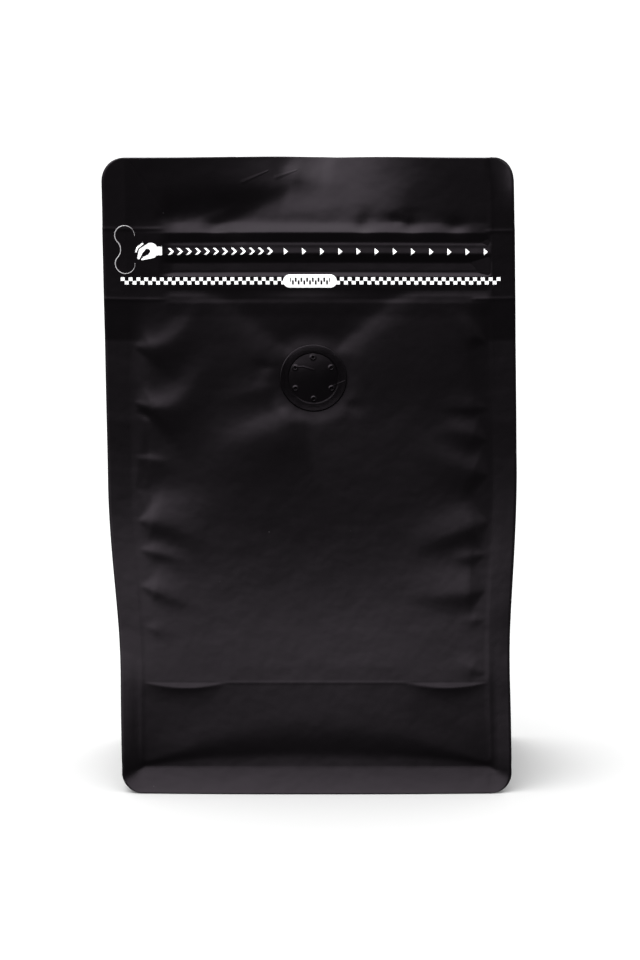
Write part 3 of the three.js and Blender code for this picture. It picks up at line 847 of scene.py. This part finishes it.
def gusset_form(front, back, side):
    """Points of a gusset, row by row with the panels. It follows the inside of the front fin to its root,
    goes in to the middle fold and out again, and follows the back fin. The fold's depth is what the film's
    width leaves over."""
    right = side > 0
    fins = panel_places >= 1.0 if right else panel_places <= -1.0
    front_fin = (front - BEHIND_WELD * outward(front))[:, fins]
    back_fin = (back + BEHIND_WELD * outward(back))[:, fins]
    if right:
        front_fin = front_fin[:, ::-1]
    else:
        back_fin = back_fin[:, ::-1]
    front_root = front_fin[:, -1 if right else 0]
    back_root = back_fin[:, 0 if right else -1]
    share = np.linspace(-1.0, 1.0, GUSSET_COLUMNS)[1:-1]
    reach = (back_root[:, 1] - front_root[:, 1]) / 2.0
    depth = np.sqrt(np.maximum(0.0, HALF_GUSSET**2 - reach**2))
    from_root = HALF_GUSSET * (1.0 - np.abs(share))[None, :]
    from_foot = np.maximum(0.0, panel_rows - BASE_SEAL)[:, None]
    nearer = (from_root + from_foot - np.sqrt((from_root - from_foot) ** 2 + GUSSET_SOFTNESS**2)) / 2.0
    tuck = depth[:, None] * np.maximum(0.0, nearer) / HALF_GUSSET
    hug = mix(1.0, GUSSET_HUG, ease(HUG_START, BAND_FOOT, panel_rows))[:, None]
    sweep = np.sign(share) * np.abs(share) ** hug
    middle = (front_root + back_root) / 2.0
    x = middle[:, [0]] - side * tuck
    y = middle[:, [1]] + reach[:, None] * sweep
    z = np.repeat(middle[:, [2]], len(share), axis=1)
    rows = np.repeat(panel_rows[:, None], len(share), axis=1)
    back_here, down_here = header_shape(side * (HALF_BODY - tuck), rows)
    back_root_shape, down_root_shape = header_shape(np.full_like(rows, side * HALF_BODY), rows)
    bow = BAND_BOW * belly(HALF_BODY - tuck) * ease(CREASE, BAND_FOOT, rows)
    body = np.stack([x, y + bow + back_here - back_root_shape, z - down_here + down_root_shape], axis=-1)
    if right:
        return np.concatenate([front_fin, body, back_fin], axis=1)
    return np.concatenate([back_fin, body[:, ::-1], front_fin], axis=1)


plain_film = new_film("plain_film")[0]
for side, name in ((1.0, "gusset_right"), (-1.0, "gusset_left")):
    points = gusset_form(front_points, back_points, side)
    girth = np.cumsum(np.linalg.norm(np.diff(points, axis=1, prepend=points[:, :1]), axis=-1), axis=1)
    height = np.repeat(panel_rows[:, None], points.shape[1], axis=1)
    gusset = make_sheet(name, points, np.stack([girth, height], axis=-1))
    finish_film(gusset, plain_film)

# Base film. A strip of the same film, welded behind the flanges of the front and the back. It hangs from the
# flanges and sags on to the floor under the contents.
BASE_LIFT = 0.35
BASE_RIM = 13.0
BASE_ROWS = 61
WELD_OVERLAP = 0.3


def base_form(front, back):
    """Points of the base film from the front flange's tip to the back flange's. Between the flanges its
    height falls from the welded rim to the floor within a rim's width of each edge."""
    body = np.abs(panel_places) <= 1.0
    flange = panel_rows <= BASE_SEAL + WELD_OVERLAP
    front_flange = (front - BEHIND_WELD * outward(front))[flange][:, body]
    back_flange = (back + BEHIND_WELD * outward(back))[flange][:, body][::-1]
    share = np.linspace(0.0, 1.0, BASE_ROWS)[1:-1, None, None]
    across = mix(front_flange[-1][None], back_flange[0][None], share)
    edge = HALF_BODY * (1.0 - np.abs(panel_places[body]))[None, :]
    depth = across[:, :, 1] - front_flange[-1][None, :, 1]
    span = back_flange[0][None, :, 1] - front_flange[-1][None, :, 1]
    inside = np.minimum(np.minimum(depth, span - depth), edge)
    across[:, :, 2] = mix(across[:, :, 2], BASE_LIFT, ease(0.0, BASE_RIM, inside))
    return np.concatenate([front_flange, across, back_flange], axis=0)


base_points = base_form(front_points, back_points)
girth = np.cumsum(np.linalg.norm(np.diff(base_points, axis=0, prepend=base_points[:1]), axis=-1), axis=0)
base_film = make_sheet("base_film", base_points, np.stack([base_points[..., 0], girth], axis=-1), turned=True)
finish_film(base_film, plain_film)

# Valve. A one-way degassing valve of black plastic, welded to the film: a flat ring with fine turned lines,
# and in it a domed disc with six punched pinholes, each with a burr round it, and two hairline creases.
DISC_RADIUS = 8.0
RING_HEIGHT = 0.6
RING_EDGE = 0.35
RING_STEP = 0.15
DISC_HEIGHT = 0.15
DISC_DOME = 0.7
RING_LINE_PITCH = 0.45
RING_LINE_HEIGHT = 0.008
VALVE_ROOT = -0.4
PINHOLE_COUNT = 6
PINHOLE_CIRCLE = 6.6
PINHOLE_RADIUS = 0.34
PINHOLE_DEPTH = 0.45
PINHOLE_ROUND = 0.12
BURR_RADIUS = 0.62
BURR_WIDTH = 0.26
BURR_HEIGHT = 0.28
HAIRLINES = (((-5.6, 3.6), (-3.0, 3.6)), ((-3.0, 3.6), (0.2, 2.6)), ((5.7, -2.6), (10.0, -0.9)))
HAIRLINE_WIDTH = 0.14
HAIRLINE_HEIGHT = 0.06
VALVE_COLUMNS = 481
VALVE_ROUGHNESS = 0.29
JOIN_DISTANCE = 0.001


def on_film(grid, u, v):
    """Values of a grid of the front film at given film coordinates, drawn evenly between the nearest four."""
    past_seal = np.maximum(0.0, np.abs(u) - HALF_BODY) / SIDE_SEAL
    place = np.sign(u) * (np.minimum(np.abs(u), HALF_BODY) / HALF_BODY + past_seal)
    column = np.interp(place, panel_places, np.arange(len(panel_places)))
    row = np.interp(v, panel_rows, np.arange(len(panel_rows)))
    left = np.minimum(column.astype(int), len(panel_places) - 2)
    low = np.minimum(row.astype(int), len(panel_rows) - 2)
    across = (column - left)[..., None]
    up = (row - low)[..., None]
    below = mix(grid[low, left], grid[low, left + 1], across)
    above = mix(grid[low + 1, left], grid[low + 1, left + 1], across)
    return mix(below, above, up)


def close_seams(piece):
    """Joins the points of a sheet that meet at its seam and at its poles."""
    shell = bmesh.new()
    shell.from_mesh(piece.data)
    bmesh.ops.remove_doubles(shell, verts=shell.verts, dist=JOIN_DISTANCE * MM)
    shell.to_mesh(piece.data)
    shell.free()


def from_line(x, y, start, end):
    """Distance of each point from a straight line between two points."""
    run = np.subtract(end, start)
    along = np.clip(((x - start[0]) * run[0] + (y - start[1]) * run[1]) / (run @ run), 0.0, 1.0)
    return np.hypot(x - start[0] - along * run[0], y - start[1] - along * run[1])


def valve_height(x, y):
    """Height of the valve's face over the film: the dome, the step to the ring and its round outer edge, with
    turned lines on the ring, a burr and a hole at each pinhole, and a thin ridge along each hairline."""
    radius = np.hypot(x, y)
    disc = DISC_HEIGHT + DISC_DOME * (1.0 - (radius / DISC_RADIUS) ** 2)
    lines = RING_LINE_HEIGHT * np.cos(2.0 * np.pi * radius / RING_LINE_PITCH)
    past_edge = np.clip((radius - VALVE_RADIUS + RING_EDGE) / RING_EDGE, 0.0, 1.0)
    ring = RING_HEIGHT + lines - RING_EDGE * (1.0 - np.sqrt(1.0 - past_edge**2))
    height = mix(disc, ring, ease(DISC_RADIUS - RING_STEP, DISC_RADIUS + RING_STEP, radius))
    for angle in np.pi / 2.0 + np.arange(PINHOLE_COUNT) * 2.0 * np.pi / PINHOLE_COUNT:
        away = np.hypot(x - PINHOLE_CIRCLE * np.cos(angle), y - PINHOLE_CIRCLE * np.sin(angle))
        height += BURR_HEIGHT * hump(away, BURR_RADIUS, BURR_WIDTH)
        wall = ease(PINHOLE_RADIUS - PINHOLE_ROUND, PINHOLE_RADIUS + PINHOLE_ROUND, away)
        height -= PINHOLE_DEPTH * (1.0 - wall)
    for start, end in HAIRLINES:
        height += HAIRLINE_HEIGHT * hump(from_line(x, y, start, end), 0.0, HAIRLINE_WIDTH)
    return height


valve_radii = spaced((0.0, 0.2), (5.4, 0.1), (DISC_RADIUS - 0.2, 0.05), (DISC_RADIUS + 0.2, 0.11),
                     (VALVE_RADIUS - RING_EDGE, 0.05), (VALVE_RADIUS, 0.0))
turn = np.linspace(0.0, 2.0 * np.pi, VALVE_COLUMNS)[None, :]
face_x = valve_radii[:, None] * np.cos(turn)
face_y = valve_radii[:, None] * np.sin(turn)
face_height = valve_height(face_x, face_y)
valve_u = VALVE_U + np.concatenate([face_x, face_x[[-1]], face_x[[0]]])
valve_v = VALVE_V + np.concatenate([face_y, face_y[[-1]], face_y[[0]]])
root_height = np.full_like(face_height[:2], VALVE_ROOT)
valve_rise = np.concatenate([face_height, root_height])[..., None]
film_normals = outward(front_points)
valve_points = on_film(front_points, valve_u, valve_v) + valve_rise * on_film(film_normals, valve_u, valve_v)
valve_disc = make_sheet("valve_disc", valve_points, np.stack([valve_u, valve_v], axis=-1), turned=True)
close_seams(valve_disc)
valve_disc.data.materials.append(new_film("valve_plastic", VALVE_ROUGHNESS)[0])
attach(valve_disc, "root")
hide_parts("valve")

# Pull tab. A bone-shaped tab is die-cut through the front film over the left end of the zipper. The raised
# cut edge is a thin tube painted pale in patches, a painted sheen along it. It is open on the right, where
# the tab stays part of the film.
TAB_U = -58.0
TAB_V = 173.0
TAB_LOBE_RADIUS = 3.1
TAB_LOBE_RISE = 4.55
TAB_WAIST_ANGLE = np.radians(43.0)
TAB_OPEN_ANGLE = np.radians(-8.0)
CUT_EDGE_RADIUS = 0.14
CUT_EDGE_TIP = 0.05
CUT_EDGE_TAPER = 0.2
CUT_EDGE_SIDES = 9
ARC_POINTS = 40
# Cut edge colours: pale and dull patches of painted sheen, far lighter than the film, standing in for light
# glancing off the edge
CUT_EDGE_PALE_SHEEN = (0.55, 0.54, 0.55, 1.0)
CUT_EDGE_DULL_SHEEN = (0.18, 0.17, 0.18, 1.0)
CUT_EDGE_SHEEN_PATCHES = 0.6
CUT_EDGE_ROUGHNESS = 0.35


def arc(centre, radius, start, end):
    """Points on a round arc between two angles."""
    angle = np.linspace(start, end, ARC_POINTS)
    return np.stack([centre[0] + radius * np.cos(angle), centre[1] + radius * np.sin(angle)], axis=-1)


def tab_outline():
    """The cut: round the upper lobe from the right, in round the waist, which touches both lobes, and round
    the lower lobe, which mirrors the upper one."""
    waist_radius = TAB_LOBE_RISE / np.sin(TAB_WAIST_ANGLE) - TAB_LOBE_RADIUS
    waist_u = TAB_U - (TAB_LOBE_RADIUS + waist_radius) * np.cos(TAB_WAIST_ANGLE)
    upper = arc((TAB_U, TAB_V + TAB_LOBE_RISE), TAB_LOBE_RADIUS, TAB_OPEN_ANGLE, np.pi + TAB_WAIST_ANGLE)
    waist = arc((waist_u, TAB_V), waist_radius, TAB_WAIST_ANGLE, -TAB_WAIST_ANGLE)
    lower = upper[::-1] * (1.0, -1.0) + (0.0, 2.0 * TAB_V)
    return np.concatenate([upper, waist[1:], lower[1:]])


cut_path = tab_outline()
cut_points = on_film(front_points, cut_path[:, 0], cut_path[:, 1])
cut_normals = on_film(film_normals, cut_path[:, 0], cut_path[:, 1])
cut_sides = np.cross(np.gradient(cut_points, axis=0), cut_normals)
cut_sides /= np.linalg.norm(cut_sides, axis=-1, keepdims=True)
cut_share = np.linspace(0.0, 1.0, len(cut_path))
from_end = np.minimum(cut_share, 1.0 - cut_share)
cut_radius = mix(CUT_EDGE_TIP, CUT_EDGE_RADIUS, ease(0.0, CUT_EDGE_TAPER, from_end))
cut_radius[[0, -1]] = 0.0
round_edge = np.linspace(0.0, 2.0 * np.pi, CUT_EDGE_SIDES)[None, :, None]
edge_way = np.cos(round_edge) * cut_sides[:, None] + np.sin(round_edge) * cut_normals[:, None]
edge_points = cut_points[:, None] + cut_radius[:, None, None] * edge_way
edge_uv = np.repeat(cut_path[:, None], CUT_EDGE_SIDES, axis=1)
pull_tab_edge = make_sheet("pull_tab_edge", edge_points, edge_uv)
close_seams(pull_tab_edge)

# Cut edge material: a painted sheen, with pale and dull patches mixed by noise, in place of light glancing
# off the edge
cut_edge = bpy.data.materials.new("cut_edge_painted_sheen")
cut_edge.use_nodes = True
tree = cut_edge.node_tree
place = tree.nodes.new("ShaderNodeUVMap")
place.uv_map = "film"
sheen_patches = noise(tree, place.outputs["UV"], CUT_EDGE_SHEEN_PATCHES)
shader = tree.nodes["Principled BSDF"]
shader.inputs["Roughness"].default_value = CUT_EDGE_ROUGHNESS
painted_edge_sheen = blend_colours(tree, sheen_patches, CUT_EDGE_DULL_SHEEN, CUT_EDGE_PALE_SHEEN)
tree.links.new(painted_edge_sheen, shader.inputs["Base Color"])
pull_tab_edge.data.materials.append(cut_edge)
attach(pull_tab_edge, "root")

# Studio. A pale floor and very large soft lights, which are bright patches of the surround: one overhead, a
# little to the front and left, one to each side and one high behind. The camera sees the surround as plain
# white, and little light bounces off the floor.
FLOOR_SIZE = 40.0
FLOOR_TONE = 0.272
FLOOR_BOUNCE = 0.05
FILL_STRENGTH = 0.03
# Each light: direction towards it, cosine of the angle to its edge, cosine of the angle to its core, strength
SOFT_LIGHTS = (
    ((-0.32, -0.20, 0.94), 0.40, 0.95, 8.7),
    ((-0.88, -0.32, 0.34), 0.70, 0.94, 0.9),
    ((0.88, -0.32, 0.34), 0.70, 0.94, 0.8),
    ((0.10, 0.78, 0.62), 0.45, 0.95, 3.5),
)


def choose_by_ray(tree, output_kind, lighting, seen):
    """Joins two shaders to the output: one is what the camera sees, and the other is what lights the bag."""
    choose = tree.nodes.new("ShaderNodeMixShader")
    path = tree.nodes.new("ShaderNodeLightPath")
    tree.links.new(path.outputs["Is Camera Ray"], choose.inputs["Fac"])
    tree.links.new(lighting.outputs[0], choose.inputs[1])
    tree.links.new(seen.outputs[0], choose.inputs[2])
    tree.links.new(choose.outputs["Shader"], tree.nodes.new(output_kind).inputs["Surface"])


bpy.ops.mesh.primitive_plane_add(size=FLOOR_SIZE)
floor = bpy.context.object
floor.name = "floor"
floor_paint = bpy.data.materials.new("pale_floor")
floor_paint.use_nodes = True
tree = floor_paint.node_tree
tree.nodes.clear()
seen = tree.nodes.new("ShaderNodeBsdfDiffuse")
seen.inputs["Color"].default_value = (FLOOR_TONE, FLOOR_TONE, FLOOR_TONE, 1.0)
bounce = tree.nodes.new("ShaderNodeBsdfDiffuse")
bounce.inputs["Color"].default_value = (FLOOR_BOUNCE, FLOOR_BOUNCE, FLOOR_BOUNCE, 1.0)
choose_by_ray(tree, "ShaderNodeOutputMaterial", bounce, seen)
floor.data.materials.append(floor_paint)


def soft_light(tree, direction, axis, edge, core, strength):
    """Brightness of one light in a direction: full within its core, fading smoothly to none at its edge."""
    facing = vector_maths(tree)("DOT_PRODUCT", direction, Vector(axis).normalized())["Value"]
    glow = tree.nodes.new("ShaderNodeMapRange")
    glow.interpolation_type = "SMOOTHSTEP"
    tree.links.new(facing, glow.inputs["Value"])
    glow.inputs["From Min"].default_value = edge
    glow.inputs["From Max"].default_value = core
    glow.inputs["To Max"].default_value = strength
    return glow.outputs["Result"]


world = bpy.data.worlds.new("surround")
bpy.context.scene.world = world
world.use_nodes = True
tree = world.node_tree
tree.nodes.clear()
calc = number_maths(tree)
direction = tree.nodes.new("ShaderNodeTexCoord").outputs["Generated"]
brightness = FILL_STRENGTH
for one_light in SOFT_LIGHTS:
    brightness = calc("ADD", soft_light(tree, direction, *one_light), brightness)
light = tree.nodes.new("ShaderNodeBackground")
tree.links.new(brightness, light.inputs["Strength"])
white = tree.nodes.new("ShaderNodeBackground")
white.inputs["Color"].default_value = (1.0, 1.0, 1.0, 1.0)
choose_by_ray(tree, "ShaderNodeOutputWorld", light, white)
bpy.context.scene.view_settings.view_transform = "Standard"

# Camera. In front of the bag and a little above it, with a long lens, as the bag was photographed.
CAMERA_DISTANCE = 1.10
CAMERA_ELEVATION = 10.0
CAMERA_AIM = (0.0036, -0.016, 0.09612)
FRAME_HEIGHT = 0.3023
SENSOR_HEIGHT = 36.0
lens = bpy.data.cameras.new("camera")
lens.sensor_fit = "VERTICAL"
lens.sensor_height = SENSOR_HEIGHT
lens.lens = SENSOR_HEIGHT * CAMERA_DISTANCE / FRAME_HEIGHT
camera = bpy.data.objects.new("camera", lens)
aim = Vector(CAMERA_AIM)
tilt = np.radians(CAMERA_ELEVATION)
camera.location = aim + CAMERA_DISTANCE * Vector((0.0, -np.cos(tilt), np.sin(tilt)))
camera.rotation_euler = (aim - camera.location).to_track_quat("-Z", "Y").to_euler()
bpy.context.collection.objects.link(camera)
bpy.context.scene.camera = camera
